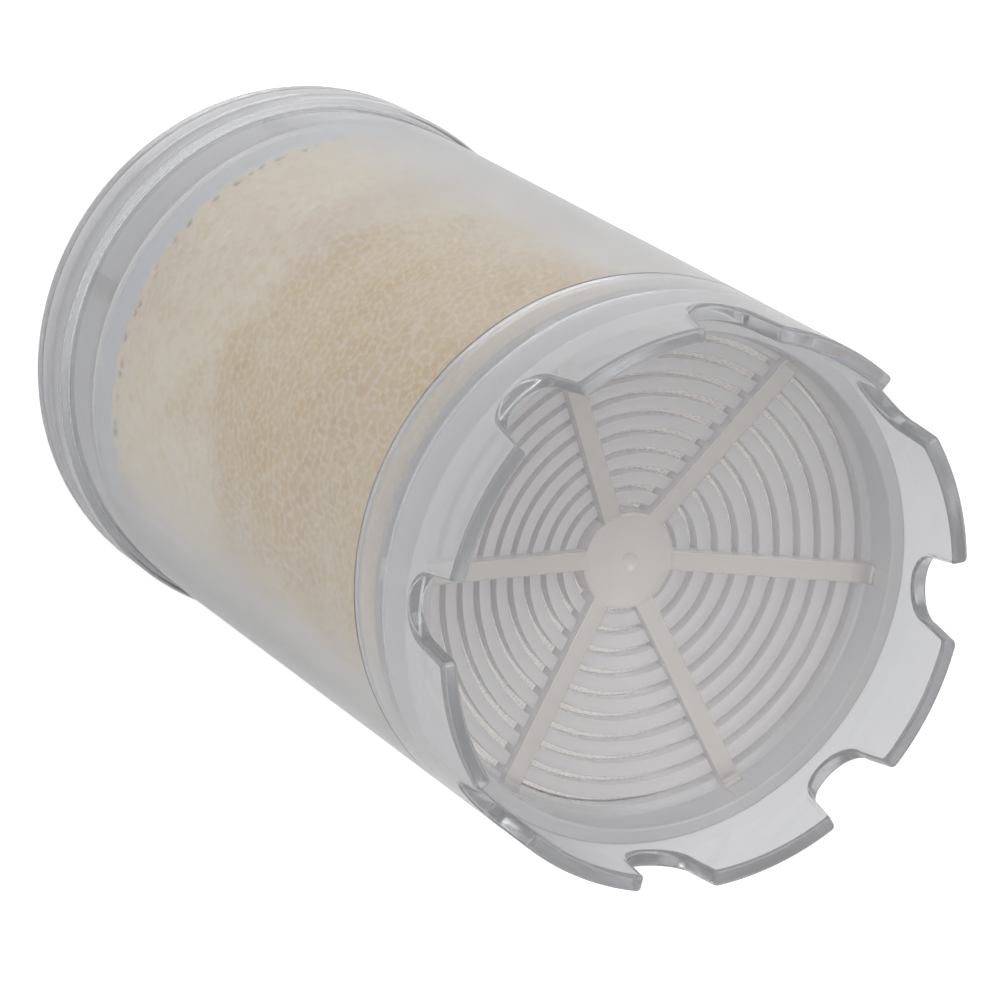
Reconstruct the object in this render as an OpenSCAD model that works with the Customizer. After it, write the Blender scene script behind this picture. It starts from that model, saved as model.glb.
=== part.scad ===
// Refillable filter cartridge for a hand shower: a clear canister with a
// flange at the inlet end and a castellated collar at the outlet end.
// It stands on its flange. Origin: centre of the flange's flat face, +Z up.

/* [Canister] */
// Outer radius of the castellated rim
rim_r = 21; // [19:0.1:24]
// Overall length from the flange's face to the rim
length = 76; // [70:0.5:90]
// Growth of the outer radius from the rim down to the flange (mould draft)
draft = 0.4; // [0:0.05:0.6]
// Radius of the canister's bore
bore_r = 18.6; // [18.5:0.05:18.8]
// Flange radius
flange_r = 22; // [21.8:0.1:24]
// Flange thickness
flange_h = 6.3; // [5:0.1:8]
// Radius of the flange's rounded edges
flange_round = 1.5; // [0.5:0.1:2]

/* [Collar] */
// Inner radius of the castellated skirt
skirt_r = 19.76; // [19.6:0.01:20]
// Height of the joint line between canister and collar
joint_z = 61.6; // [60:0.1:62.5]
// Number of notches round the rim
notch_count = 8; // [4:1:10]
// Width of a notch at the rim
notch_w = 5.9; // [4:0.1:7]
// Depth of a notch
notch_depth = 5.5; // [4:0.1:6]
// Radius of a notch's bottom
notch_bottom_r = 2.55; // [1.5:0.05:2.8]

/* [Grilles] */
// Depth of the dished grille's middle below the rim
dish_depth = 14.28; // [14:0.01:14.5]
// Rise of the dish per unit of radius
dish_slope = 0.245; // [0.2:0.005:0.26]
// Thickness of the slotted plates
plate_t = 1.2; // [0.8:0.1:1.4]
// Number of spoke ribs
rib_count = 6; // [3:1:8]
// Width of a rib
rib_w = 1.5; // [1:0.1:2]
// Height of a rib above the outlet plate
rib_h = 0.75; // [0.3:0.05:0.9]
// Hub radius
hub_r = 3.7; // [3:0.1:3.7]
// Number of ring slits in the outlet grille
slit_count = 10; // [4:1:10]
// Number of ring slits in the inlet plug
inlet_slit_count = 9; // [4:1:9]
// Width of a slit
slit_w = 0.5; // [0.3:0.05:0.8]
// Distance from slit to slit
slit_pitch = 1.515; // [1.3:0.005:1.52]
// Angle of the first outlet rib
outlet_rib_turn = 13.35; // [0:0.05:60]
// Angle of the first inlet rib
inlet_rib_turn = 56.6; // [0:0.1:60]

/* [Filling] */
// Thickness of the fine screens
screen_t = 0.3; // [0.2:0.05:0.5]
// Thickness of the outlet felt
outlet_felt_t = 1.6; // [1:0.1:3]
// Thickness of the inlet felt
inlet_felt_t = 3.3; // [1:0.1:5]
// Height at which the two beds of granules meet
bed_split_z = 29.8; // [20:0.1:50]

/* [Hidden] */
$fn = 96;

fit = 0.05;              // running clearance on radius between pieces that slide together
face_gap = 0.03;         // gap between faces that lie on each other in one body
lift_gap = 0.3;          // gap between the outlet felt and the screen that lifts off it
edge = 0.3;              // rounding of thin moulded edges
joint_chamfer = 0.2;     // chamfer on both sides of the joint line
neck_r = 20.2;           // canister neck inside the collar
neck_top = 64.6;         // top of the neck, on which the grille rests
lap_r = neck_r + fit;    // inside of the collar's lap round the neck
lap_top = neck_top + 1.1;             // the grille's lugs snap in below this step
pocket_r = skirt_r + 0.09;            // collar pocket that holds the grille
pocket_top = length - 6.9;
grille_r = pocket_r - fit;
grille_bottom = neck_top + fit;
wall_in = 18.4;          // inside of the grille's upstanding wall, at the dish
wall_in_top = 18.6;      // and at its top
hub_top = length - 12.6;
rib_root = 0.6 * hub_r;  // ribs start inside the hub, clear of each other
rib_sink = 0.3;          // a rib's underside above its plate's
slit_first = hub_r + slit_w / 2;
outlet_slits_end = slit_first + (slit_count - 0.5) * slit_pitch - (slit_pitch - slit_w) / 2;
inlet_slits_end = slit_first + (inlet_slit_count - 0.5) * slit_pitch - (slit_pitch - slit_w) / 2;

plug_r = bore_r - fit;
plug_base = 0.8;         // recess of the inlet plate above the flange's face
plug_plate_top = plug_base + plate_t + 0.2;
plug_top = 9.2;          // top of the inlet ribs
plug_hub_top = plug_top - 0.4;
plug_band_top = 8.2;     // top of the plug's upper band
plug_band_r = plug_r - 0.3;
groove_low = 2.6;        // groove between the plug's two bands
groove_high = 3.6;
groove_r = plug_r - 0.8;
plug_in_r = 16.9;        // inside of the plug's skirt
lug_r = bore_r - 0.02;   // lugs at the rib ends, a touch proud of the bands
inlet_screen_z = plug_top + face_gap;
inlet_felt_z = inlet_screen_z + screen_t + face_gap;
lower_bed_z = inlet_felt_z + inlet_felt_t + face_gap;
fill_r = bore_r - fit;

clear_tint = [0.83, 0.85, 0.87, 0.45];
felt_tint = [0.88, 0.87, 0.84];
mesh_tint = [0.80, 0.81, 0.82];

// Outer radius of canister and collar at height z.
function outer_r(z) = rim_r + draft * (length - z) / (length - flange_h);
// Top of the dished outlet plate at radius r.
function dish_z(r) = length - dish_depth + dish_slope * r;
// Points along an arc.
function arc(c, r, a0, a1, n = 8) =
    [for (i = [0:n]) let (a = a0 + (a1 - a0) * i / n) [c[0] + r * cos(a), c[1] + r * sin(a)]];

// A disc that follows the dish, between two heights below the plate's top.
module dished_disc(r, upper, lower) {
    rotate_extrude()
        polygon([[0, dish_z(0) - lower], [r, dish_z(r) - lower],
                 [r, dish_z(r) - upper], [0, dish_z(0) - upper]]);
}

// The flat or dished rings between one slit and the next.
module slotted_rings(count, slope, top, bottom) {
    for (i = [0:count - 2]) {
        a = slit_first + i * slit_pitch + slit_w / 2;
        b = a + slit_pitch - slit_w;
        rotate_extrude()
            polygon([[a, bottom + slope * a], [b, bottom + slope * b],
                     [b, top + slope * b], [a, top + slope * a]]);
    }
}

// Copies of a piece at the angles of the ribs.
module at_ribs(turn) {
    for (i = [0:rib_count - 1])
        rotate(turn + i * 360 / rib_count) children();
}

// An upright rib with the given side outline.
module rib(outline) {
    rotate([90, 0, 0])
        linear_extrude(height = rib_w, center = true)
            polygon(outline);
}

// Outline of one rim notch: round bottom, flaring sides, rounded mouth.
module notch_outline() {
    half = notch_w / 2;
    bottom_y = length - notch_depth + notch_bottom_r;
    mouth = 0.5;
    polygon(concat(
        [[-half - mouth, length + 1]],
        arc([-half - mouth, length - mouth], mouth, 90, 0, 6),
        arc([0, bottom_y], notch_bottom_r, 180, 360, 16),
        arc([half + mouth, length - mouth], mouth, 180, 90, 6),
        [[half + mouth, length + 1]]));
}

module canister() {
    f = flange_round;
    body_r = outer_r(flange_h);
    color(clear_tint)
    rotate_extrude()
        polygon(concat(
            [[bore_r, 0.8], [bore_r + 0.6, 0]],
            arc([flange_r - f, f], f, -90, 0),
            arc([flange_r - f, flange_h - f], f, 0, 68),
            [[body_r + 0.1, flange_h], [body_r, flange_h + 0.3],
             [outer_r(joint_z), joint_z - joint_chamfer],
             [outer_r(joint_z) - joint_chamfer, joint_z],
             [neck_r, joint_z], [neck_r, neck_top - edge], [neck_r - edge, neck_top],
             [bore_r, neck_top]]));
}

module collar() {
    e = edge;
    color(clear_tint)
    difference() {
        rotate_extrude()
            polygon(concat(
                [[lap_r, joint_z], [outer_r(joint_z) - joint_chamfer, joint_z],
                 [outer_r(joint_z), joint_z + joint_chamfer]],
                arc([rim_r - e, length - e], e, 0, 90, 4),
                arc([skirt_r + e, length - e], e, 90, 180, 4),
                [[skirt_r, pocket_top], [pocket_r, pocket_top],
                 [pocket_r, lap_top], [lap_r, lap_top]]));
        for (i = [0:notch_count - 1])
            rotate(i * 360 / notch_count)
                translate([rim_r + 3, 0, 0])
                    rotate([90, 0, -90])
                        linear_extrude(height = 6)
                            notch_outline();
    }
}

module outlet_grille() {
    plate_end = outlet_slits_end;
    wall_top = pocket_top - fit;
    brim = 0.6;
    color([0.90, 0.89, 0.88, 0.7])
    difference() {
        union() {
            slotted_rings(slit_count, dish_slope, dish_z(0), dish_z(0) - plate_t);
            // upstanding wall round the dish, rounded at its inner brim
            rotate_extrude()
                polygon(concat(
                    [[plate_end, grille_bottom], [grille_r, grille_bottom], [grille_r, wall_top]],
                    arc([wall_in_top + brim, wall_top - brim], brim, 90, 180, 5),
                    [[wall_in, dish_z(wall_in)], [plate_end, dish_z(plate_end)]]));
            // hub
            rotate_extrude()
                polygon([[0, dish_z(0) - plate_t], [hub_r, dish_z(hub_r) - plate_t],
                         [hub_r, hub_top - edge], [hub_r - edge, hub_top], [0, hub_top]]);
            at_ribs(outlet_rib_turn)
                rib([[rib_root, dish_z(rib_root) - plate_t + rib_sink],
                     [wall_in + 0.5, dish_z(wall_in) - plate_t + rib_sink],
                     [wall_in + 0.5, dish_z(wall_in) + rib_h],
                     [rib_root, dish_z(rib_root) + rib_h]]);
            // lugs that snap under the collar's step
            intersection() {
                at_ribs(outlet_rib_turn)
                    rib([[grille_r - 0.5, grille_bottom + 0.1], [lap_r + 1, grille_bottom + 0.1],
                         [lap_r + 1, lap_top - fit], [grille_r - 0.5, lap_top - fit]]);
                cylinder(r = lap_r - fit, h = length);
            }
        }
        // gate mark in the middle of the hub
        translate([0, 0, hub_top - 0.25])
            cylinder(r1 = 0.35, r2 = 0.95, h = 0.5, $fn = 32);
    }
}

module outlet_screen() {
    color(mesh_tint)
        dished_disc(outlet_slits_end - fit, plate_t + face_gap, plate_t + face_gap + screen_t);
}

module outlet_felt() {
    top = plate_t + face_gap + screen_t + lift_gap;
    color(felt_tint)
        dished_disc(fill_r, top, top + outlet_felt_t);
}

module upper_bed() {
    below_dish = plate_t + screen_t + lift_gap + outlet_felt_t + 2 * face_gap;
    color([0.80, 0.73, 0.60])
    rotate_extrude()
        polygon([[0, bed_split_z + face_gap], [fill_r, bed_split_z + face_gap],
                 [fill_r, dish_z(fill_r) - below_dish], [0, dish_z(0) - below_dish]]);
}

module lower_bed() {
    color([0.83, 0.79, 0.70])
    translate([0, 0, lower_bed_z])
        cylinder(r = fill_r, h = bed_split_z - lower_bed_z);
}

module inlet_felt() {
    color(felt_tint)
    translate([0, 0, inlet_felt_z])
        cylinder(r = fill_r, h = inlet_felt_t);
}

module inlet_screen() {
    color(mesh_tint)
    translate([0, 0, inlet_screen_z])
        cylinder(r = fill_r, h = screen_t);
}

module inlet_plug() {
    color([0.86, 0.87, 0.88, 0.7])
    union() {
        slotted_rings(inlet_slit_count, 0, plug_plate_top, plug_base);
        // skirt with two bands and a groove between them
        rotate_extrude()
            polygon([[inlet_slits_end, plug_base], [plug_r - edge, plug_base],
                     [plug_r, plug_base + edge], [plug_r, groove_low],
                     [groove_r, groove_low], [groove_r, groove_high],
                     [plug_band_r, groove_high], [plug_band_r, plug_band_top],
                     [plug_in_r, plug_band_top], [plug_in_r, plug_plate_top],
                     [inlet_slits_end, plug_plate_top]]);
        translate([0, 0, plug_base])
            cylinder(r = hub_r, h = plug_hub_top - plug_base);
        // ribs, whose ends reach the bore as upright lugs
        intersection() {
            at_ribs(inlet_rib_turn)
                rib([[rib_root, plug_base + rib_sink], [bore_r + 1, plug_base + rib_sink],
                     [bore_r + 1, plug_top], [rib_root, plug_top]]);
            cylinder(r = lug_r, h = plug_top + 1);
        }
    }
}

canister();
collar();
outlet_grille();
outlet_screen();
outlet_felt();
upper_bed();
lower_bed();
inlet_felt();
inlet_screen();
inlet_plug();
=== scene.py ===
"""Filter cartridge for a hand shower: hazy clear canister and castellated collar,
dished outlet grille, granule beds between felts, and the inlet plug.

Sizes are in metres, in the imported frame: +Z runs from the inlet flange to the rim.
"""
import math

import bpy
import numpy as np
from mathutils import Matrix, Vector


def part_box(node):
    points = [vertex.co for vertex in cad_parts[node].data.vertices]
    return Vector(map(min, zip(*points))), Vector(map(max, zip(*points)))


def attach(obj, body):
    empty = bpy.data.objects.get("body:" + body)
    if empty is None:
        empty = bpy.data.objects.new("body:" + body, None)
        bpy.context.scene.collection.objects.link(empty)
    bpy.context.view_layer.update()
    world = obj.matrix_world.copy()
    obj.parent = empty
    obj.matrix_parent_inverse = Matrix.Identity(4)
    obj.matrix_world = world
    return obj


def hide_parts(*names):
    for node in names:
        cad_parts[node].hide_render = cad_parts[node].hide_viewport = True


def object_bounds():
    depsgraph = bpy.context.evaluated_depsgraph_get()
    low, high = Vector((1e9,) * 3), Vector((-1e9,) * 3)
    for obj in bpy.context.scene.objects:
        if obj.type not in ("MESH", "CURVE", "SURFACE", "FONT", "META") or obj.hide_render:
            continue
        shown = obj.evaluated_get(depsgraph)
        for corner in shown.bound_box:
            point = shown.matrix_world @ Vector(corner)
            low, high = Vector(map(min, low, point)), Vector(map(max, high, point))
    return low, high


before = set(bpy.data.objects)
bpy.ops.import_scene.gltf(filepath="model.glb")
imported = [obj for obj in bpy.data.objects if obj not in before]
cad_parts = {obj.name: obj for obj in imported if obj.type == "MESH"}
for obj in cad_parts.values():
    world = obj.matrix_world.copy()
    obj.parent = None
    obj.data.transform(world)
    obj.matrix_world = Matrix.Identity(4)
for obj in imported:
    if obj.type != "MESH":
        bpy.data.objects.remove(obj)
cad_low, cad_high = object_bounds()

MM = 0.001
TAU = 2 * math.pi

# ---------------------------------------------------------------- driving sizes

LENGTH = cad_high[2]
FLANGE_R = cad_high[0] - 0.01 * MM
RIM_R = 21.0 * MM
DRAFT = 0.4 * MM
FLANGE_H = 6.3 * MM
FLANGE_ROUND = 1.5 * MM
BORE_R = 18.6 * MM
SKIRT_R = 19.76 * MM
JOINT_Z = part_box("collar")[0][2]
NECK_R = 20.2 * MM
NECK_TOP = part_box("canister")[1][2]
LAP_R = NECK_R + 0.05 * MM
LAP_TOP = NECK_TOP + 1.1 * MM
POCKET_R = SKIRT_R + 0.09 * MM
POCKET_TOP = LENGTH - 6.9 * MM

NOTCH_COUNT = 8
NOTCH_HALF = 2.95 * MM
NOTCH_DEPTH = 5.5 * MM
NOTCH_BOTTOM_R = 2.55 * MM
NOTCH_MOUTH_R = 0.5 * MM
THIN_EDGE = 0.3 * MM

DISH_MIDDLE = LENGTH - 14.28 * MM
DISH_SLOPE = 0.245
PLATE_T = 1.2 * MM
RIB_COUNT = 6
RIB_W = 1.5 * MM
RIB_H = 0.75 * MM
HUB_R = 3.7 * MM
HUB_TOP = LENGTH - 12.6 * MM
SLIT_W = 0.5 * MM
SLIT_PITCH = 1.515 * MM
SLIT_FIRST = HUB_R + SLIT_W / 2
OUTLET_SLITS = 10
INLET_SLITS = 9
OUTLET_RIB_TURN = math.radians(13.35)
INLET_RIB_TURN = math.radians(56.6)
WALL_IN = 18.4 * MM
WALL_IN_TOP = 18.6 * MM
GRILLE_R = POCKET_R - 0.05 * MM

PLUG_LOW, PLUG_HIGH = (corner[2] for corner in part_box("inlet_plug"))
PLUG_R = BORE_R - 0.05 * MM
PLUG_IN_R = 16.9 * MM
PLUG_PLATE_TOP = PLUG_LOW + PLATE_T + 0.2 * MM
GROOVE_LOW = 2.6 * MM
GROOVE_HIGH = 3.6 * MM
BAND_TOP = 8.2 * MM

SCREEN_T = 0.3 * MM
OUTLET_FELT_T = 1.6 * MM
GRAIN = 0.78 * MM
GRAIN_WIDE, GRAIN_TALL = 0.95, 1.4  # a grain cell in grain sizes, round and up the wall
GRAIN_DEPTH = 0.10 * MM
RIPPLE_DEPTH = 0.05 * MM
GAP_DEPTH = 0.2 * MM
GRAIN_SEED = 23
BED_COLUMNS = 520
BED_ROW = 0.2 * MM
BED_GAP = 0.12 * MM    # between the granules and the wall

SMOOTH_TURN = 192      # steps round a large circle
SHARP_ANGLE = math.radians(42)


# ---------------------------------------------------------------- mesh helpers

def rounded(corners, radius, steps=4, closed=True):
    """A polyline with its corners rounded.

    Each corner becomes an arc tangent to both sides, at most `radius` and at most 0.4 of
    the shorter side; two extra points hold the straight sides straight beside each arc.
    """
    pts = np.array(corners, float)
    n = len(pts)
    out = []
    for i in range(n):
        p = pts[i]
        if not closed and i in (0, n - 1):
            out.append(p)
            continue
        a, b = pts[i - 1] - p, pts[(i + 1) % n] - p
        la, lb = np.linalg.norm(a), np.linalg.norm(b)
        ua, ub = a / la, b / lb
        half = math.acos(float(np.clip(ua @ ub, -1, 1))) / 2
        if half > math.radians(89):
            out.append(p)
            continue
        r = radius[i] if hasattr(radius, "__len__") else radius
        cut = min(r / math.tan(half), 0.4 * la, 0.4 * lb)
        r = cut * math.tan(half)
        mid = (ua + ub) / np.linalg.norm(ua + ub)
        centre = p + mid * r / math.sin(half)
        start, end = p + ua * cut - centre, p + ub * cut - centre
        sweep = math.pi - 2 * half
        hold = min(0.35 * cut, 0.04 * min(la, lb))
        out.append(p + ua * (cut + hold))
        for k in range(steps + 1):
            t = k / steps
            w0 = math.sin((1 - t) * sweep) / math.sin(sweep)
            w1 = math.sin(t * sweep) / math.sin(sweep)
            out.append(centre + start * w0 + end * w1)
        out.append(p + ub * (cut + hold))
    return np.array(out)


def grid_faces(rows, cols, close_rows, close_cols):
    """Quads of a rows by cols grid of points, joined round in either direction."""
    i = np.arange(rows if close_rows else rows - 1)
    j = np.arange(cols if close_cols else cols - 1)
    i, j = [a.ravel() for a in np.meshgrid(i, j, indexing="ij")]
    i1, j1 = (i + 1) % rows, (j + 1) % cols
    return np.stack([i * cols + j, i * cols + j1, i1 * cols + j1, i1 * cols + j], 1)


class Body:
    """Collects closed surfaces and turns them into one Blender mesh object."""

    def __init__(self):
        self.verts, self.faces, self.count = [], [], 0
        self.fields = {}

    def add(self, verts, *face_arrays, flip=None, **fields):
        """One closed surface: its points, its quads and triangles, and values per point."""
        verts = np.asarray(verts, float)
        if flip is None:
            volume = 0.0
            for f in face_arrays:
                for k in range(1, f.shape[1] - 1):
                    tri = verts[f[:, [0, k, k + 1]]]
                    volume += (tri[:, 0] * np.cross(tri[:, 1], tri[:, 2])).sum()
            flip = volume < 0
        for f in face_arrays:
            self.faces += (f[:, ::-1] if flip else f).__add__(self.count).tolist()
        self.verts.append(verts)
        for name, values in fields.items():
            self.fields.setdefault(name, []).append(np.asarray(values, float))
        self.count += len(verts)

    def build(self, name, material, body, replaces, thick_materials=()):
        """Makes the object; a face takes thick_materials[k - 1] where its points' thick is k."""
        mesh = bpy.data.meshes.new(name)
        mesh.from_pydata(np.vstack(self.verts).tolist(), [], self.faces)
        for field, parts in self.fields.items():
            layer = mesh.attributes.new(field, "FLOAT", "POINT")
            layer.data.foreach_set("value", np.concatenate(parts).astype(np.float32))
        mesh.polygons.foreach_set("use_smooth", [True] * len(mesh.polygons))
        mesh.set_sharp_from_angle(angle=SHARP_ANGLE)
        mesh.materials.append(material)
        if thick_materials:
            value = np.concatenate(self.fields["thick"])
            thick = [int(value[face].min()) for face in map(list, self.faces)]
            for extra in thick_materials:
                mesh.materials.append(extra)
            mesh.polygons.foreach_set("material_index", thick)
        mesh.update()
        obj = bpy.data.objects.new(name, mesh)
        bpy.context.scene.collection.objects.link(obj)
        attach(obj, body)
        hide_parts(*replaces)
        return obj


def lathe(body, profile, steps=SMOOTH_TURN):
    """Turns a closed (radius, height) profile about Z: (r cos a, r sin a, z) for each angle a."""
    a = np.arange(steps) / steps * TAU
    r, z = profile[:, 0], profile[:, 1]
    pts = np.stack([np.outer(np.cos(a), r), np.outer(np.sin(a), r),
                    np.outer(np.ones(steps), z)], -1)
    body.add(pts.reshape(-1, 3), grid_faces(steps, len(profile), True, True))


def lathe_disc(body, profile, steps=SMOOTH_TURN):
    """Turns an open profile whose two ends lie on the axis, closing it with a pole at each end."""
    a = np.arange(steps) / steps * TAU
    inner = profile[1:-1]
    n = len(inner)
    pts = np.stack([np.outer(np.cos(a), inner[:, 0]), np.outer(np.sin(a), inner[:, 0]),
                    np.outer(np.ones(steps), inner[:, 1])], -1).reshape(-1, 3)
    poles = np.array([[0, 0, profile[0, 1]], [0, 0, profile[-1, 1]]])
    i = np.arange(steps)
    i1 = (i + 1) % steps
    first = np.stack([np.full(steps, steps * n), i * n, i1 * n], 1)
    last = np.stack([np.full(steps, steps * n + 1), i1 * n + n - 1, i * n + n - 1], 1)
    body.add(np.vstack([pts, poles]), grid_faces(steps, n, True, False), first, last)


# ---------------------------------------------------------------- materials

def socket_group(name, inputs, outputs):
    """An empty shader node group with named float, colour or vector sockets."""
    group = bpy.data.node_groups.new(name, "ShaderNodeTree")
    for label, kind, value in inputs:
        made = group.interface.new_socket(name=label, in_out="INPUT",
                                          socket_type="NodeSocket" + kind)
        if value is not None:
            made.default_value = value
    for label, kind in outputs:
        group.interface.new_socket(name=label, in_out="OUTPUT", socket_type="NodeSocket" + kind)
    return group, group.nodes.new("NodeGroupInput"), group.nodes.new("NodeGroupOutput")


def make_clouding():
    """Node group for moulded plastic: soft clouds in colour and roughness, and a flow bump."""
    group, gin, gout = socket_group(
        "moulded clouding",
        [("Tint A", "Color", (0.8, 0.8, 0.8, 1)), ("Tint B", "Color", (0.7, 0.7, 0.7, 1)),
         ("Cloud Scale", "Float", 40.0), ("Roughness Low", "Float", 0.2),
         ("Roughness High", "Float", 0.3), ("Bump Strength", "Float", 0.05)],
        [("Color", "Color"), ("Roughness", "Float"), ("Normal", "Vector")])
    n, link = group.nodes, group.links.new
    coord = n.new("ShaderNodeTexCoord")
    cloud = n.new("ShaderNodeTexNoise")
    cloud.inputs["Detail"].default_value = 3.0
    link(coord.outputs["Object"], cloud.inputs["Vector"])
    link(gin.outputs["Cloud Scale"], cloud.inputs["Scale"])
    mix = n.new("ShaderNodeMix")
    mix.data_type = "RGBA"
    link(cloud.outputs["Fac"], mix.inputs["Factor"])
    link(gin.outputs["Tint A"], mix.inputs["A"])
    link(gin.outputs["Tint B"], mix.inputs["B"])
    spread = n.new("ShaderNodeMapRange")
    link(cloud.outputs["Fac"], spread.inputs["Value"])
    spread.inputs["From Min"].default_value = 0.3
    spread.inputs["From Max"].default_value = 0.7
    link(gin.outputs["Roughness Low"], spread.inputs["To Min"])
    link(gin.outputs["Roughness High"], spread.inputs["To Max"])
    flow = n.new("ShaderNodeTexNoise")
    flow.inputs["Scale"].default_value = 180.0
    flow.inputs["Detail"].default_value = 2.0
    link(coord.outputs["Object"], flow.inputs["Vector"])
    bump = n.new("ShaderNodeBump")
    bump.inputs["Distance"].default_value = 0.0002
    link(gin.outputs["Bump Strength"], bump.inputs["Strength"])
    link(flow.outputs["Fac"], bump.inputs["Height"])
    link(mix.outputs["Result"], gout.inputs["Color"])
    link(spread.outputs["Result"], gout.inputs["Roughness"])
    link(bump.outputs["Normal"], gout.inputs["Normal"])
    return group


CLOUDING = make_clouding()


def plastic(name, tint_a, tint_b, transmission, rough, cloud_scale):
    """Hazy moulded plastic: most of the light passes through, the rest is scattered.

    Shadow rays pass through almost unhindered, so the filling behind the wall stays lit.
    """
    mat = bpy.data.materials.new(name)
    mat.use_nodes = True
    n, link = mat.node_tree.nodes, mat.node_tree.links.new
    bsdf = n["Principled BSDF"]
    cloud = n.new("ShaderNodeGroup")
    cloud.node_tree = CLOUDING
    cloud.inputs["Tint A"].default_value = (*tint_a, 1)
    cloud.inputs["Tint B"].default_value = (*tint_b, 1)
    cloud.inputs["Cloud Scale"].default_value = cloud_scale
    cloud.inputs["Roughness Low"].default_value = rough[0]
    cloud.inputs["Roughness High"].default_value = rough[1]
    cloud.inputs["Bump Strength"].default_value = 0.01
    link(cloud.outputs["Color"], bsdf.inputs["Base Color"])
    link(cloud.outputs["Roughness"], bsdf.inputs["Roughness"])
    link(cloud.outputs["Normal"], bsdf.inputs["Normal"])
    bsdf.inputs["IOR"].default_value = 1.49
    bsdf.inputs["Transmission Weight"].default_value = transmission
    path = n.new("ShaderNodeLightPath")
    share = n.new("ShaderNodeMath")
    share.operation = "MULTIPLY"
    share.inputs[1].default_value = 0.9
    link(path.outputs["Is Shadow Ray"], share.inputs[0])
    through = n.new("ShaderNodeBsdfTransparent")
    mix = n.new("ShaderNodeMixShader")
    link(share.outputs["Value"], mix.inputs["Fac"])
    link(bsdf.outputs["BSDF"], mix.inputs[1])
    link(through.outputs["BSDF"], mix.inputs[2])
    link(mix.outputs["Shader"], n["Material Output"].inputs["Surface"])
    return mat


def granules(name):
    """Porous granules: each grain has its own shade, with pale borders between the grains.

    The tones change with height: pale cream near the inlet, yellowish cream above, with the
    change between 24 and 38 mm moved up and down by a soft noise.
    """
    mat = bpy.data.materials.new(name)
    mat.use_nodes = True
    n, link = mat.node_tree.nodes, mat.node_tree.links.new
    bsdf = n["Principled BSDF"]
    coord = n.new("ShaderNodeTexCoord")

    def clouds(scale, detail):
        """A noise pattern on the piece's own coordinates."""
        noise = n.new("ShaderNodeTexNoise")
        noise.inputs["Scale"].default_value = scale
        noise.inputs["Detail"].default_value = detail
        link(coord.outputs["Object"], noise.inputs["Vector"])
        return noise.outputs["Fac"]

    def spread(value, low, high, to_low, to_high):
        """Values from low to high, eased, onto to_low to to_high."""
        node = n.new("ShaderNodeMapRange")
        node.interpolation_type = "SMOOTHSTEP"
        for label, number in (("From Min", low), ("From Max", high), ("To Min", to_low),
                              ("To Max", to_high)):
            node.inputs[label].default_value = number
        link(value, node.inputs["Value"])
        return node.outputs["Result"]

    def times(a, b):
        """The product of two patterns."""
        node = n.new("ShaderNodeMath")
        node.operation = "MULTIPLY"
        link(a, node.inputs[0])
        link(b, node.inputs[1])
        return node.outputs["Value"]

    def blend(factor, a, b, kind="MIX"):
        """Colour a turned into colour b by a number or a pattern."""
        node = n.new("ShaderNodeMix")
        node.data_type = "RGBA"
        node.blend_type = kind
        if isinstance(factor, float):
            node.inputs["Factor"].default_value = factor
        else:
            link(factor, node.inputs["Factor"])
        for label, colour in (("A", a), ("B", b)):
            if isinstance(colour, tuple):
                node.inputs[label].default_value = (*colour, 1)
            else:
                link(colour, node.inputs[label])
        return node.outputs["Result"]

    def attribute(label):
        """A value carried by the mesh's points."""
        node = n.new("ShaderNodeAttribute")
        node.attribute_name = label
        return node.outputs["Fac"]

    split = n.new("ShaderNodeSeparateXYZ")
    link(coord.outputs["Object"], split.inputs["Vector"])
    wander = n.new("ShaderNodeMath")
    wander.operation = "ADD"
    link(split.outputs["Z"], wander.inputs[0])
    link(spread(clouds(90.0, 3.0), 0.2, 0.8, -0.010, 0.010), wander.inputs[1])
    height = spread(wander.outputs["Value"], 0.024, 0.038, 0.0, 1.0)
    cream = blend(height, (0.86, 0.735, 0.51), (0.73, 0.545, 0.24))
    patches = times(spread(clouds(130.0, 5.0), 0.40, 0.62, 0.0, 1.0), height)
    colour = blend(patches, cream, (0.67, 0.435, 0.04))
    colour = blend(spread(clouds(65.0, 2.0), 0.52, 0.72, 0.0, 0.55), colour, (0.72, 0.50, 0.33))
    shade = blend(attribute("grain_shade"), (0.93, 0.83, 0.64), (1.0, 1.0, 1.0))
    colour = blend(1.0, colour, shade, "MULTIPLY")
    border = spread(attribute("grain_edge"), 0.0, 1.0, 0.0, 0.65)
    colour = blend(border, colour, (0.86, 0.76, 0.57))
    # painted shade: spots in the gaps by the lower bed's lowest grains are darkened nearly to
    # black
    painted_gap_shade = spread(attribute("grain_gap"), 0.0, 1.0, 0.0, 0.9)
    colour = blend(painted_gap_shade, colour, (0.14, 0.15, 0.16))
    link(colour, bsdf.inputs["Base Color"])
    bump = n.new("ShaderNodeBump")
    bump.inputs["Strength"].default_value = 0.35
    bump.inputs["Distance"].default_value = 0.0002
    link(clouds(2500.0, 3.0), bump.inputs["Height"])
    link(bump.outputs["Normal"], bsdf.inputs["Normal"])
    bsdf.inputs["Roughness"].default_value = 0.85
    return mat


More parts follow.
